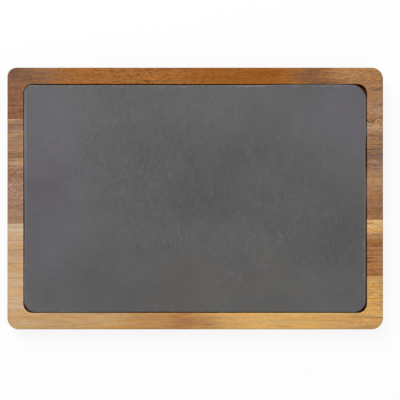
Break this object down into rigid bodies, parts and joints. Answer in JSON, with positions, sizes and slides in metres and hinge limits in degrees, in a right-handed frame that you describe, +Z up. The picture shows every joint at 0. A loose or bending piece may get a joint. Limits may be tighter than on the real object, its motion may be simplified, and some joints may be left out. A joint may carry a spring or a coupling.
{
  "type": "slate serving board",
  "caption": "Rectangular serving board: an edge-glued wooden tray with rounded corners and small domed feet, and a flat slate insert that lifts out of its routed pocket.",
  "frame": {"origin": "under the middle of the tray, on the surface that the feet stand on", "axes": "+X along the grain and the longest side, +Y to the back, +Z up out of the slate's face"},
  "size_m": [0.33, 0.23, 0.0175],
  "materials": {
    "wood_front_edge": "oiled, pale golden sapwood",
    "wood_front": "oiled, pale to mid brown",
    "wood_middle": "oiled, pinkish brown",
    "wood_back": "oiled, mid brown with dark lines",
    "wood_back_edge": "oiled, orange brown heartwood",
    "slate": "riven, matt dark grey",
    "foot_rubber": "matt black"
  },
  "bodies": {
    "tray": {"front_edge_stave": "wood_front_edge", "front_stave": "wood_front", "middle_stave": "wood_middle", "back_stave": "wood_back", "back_edge_stave": "wood_back_edge", "front_left_foot": "foot_rubber", "front_right_foot": "foot_rubber", "back_right_foot": "foot_rubber", "back_left_foot": "foot_rubber"},
    "slate": {"slate": "slate"}
  },
  "joints": [
    {"name": "slate_lift", "type": "slide", "parent": "tray", "child": "slate", "axis": [0, 0, 1], "range_m": [0, 0.04]}
  ]
}
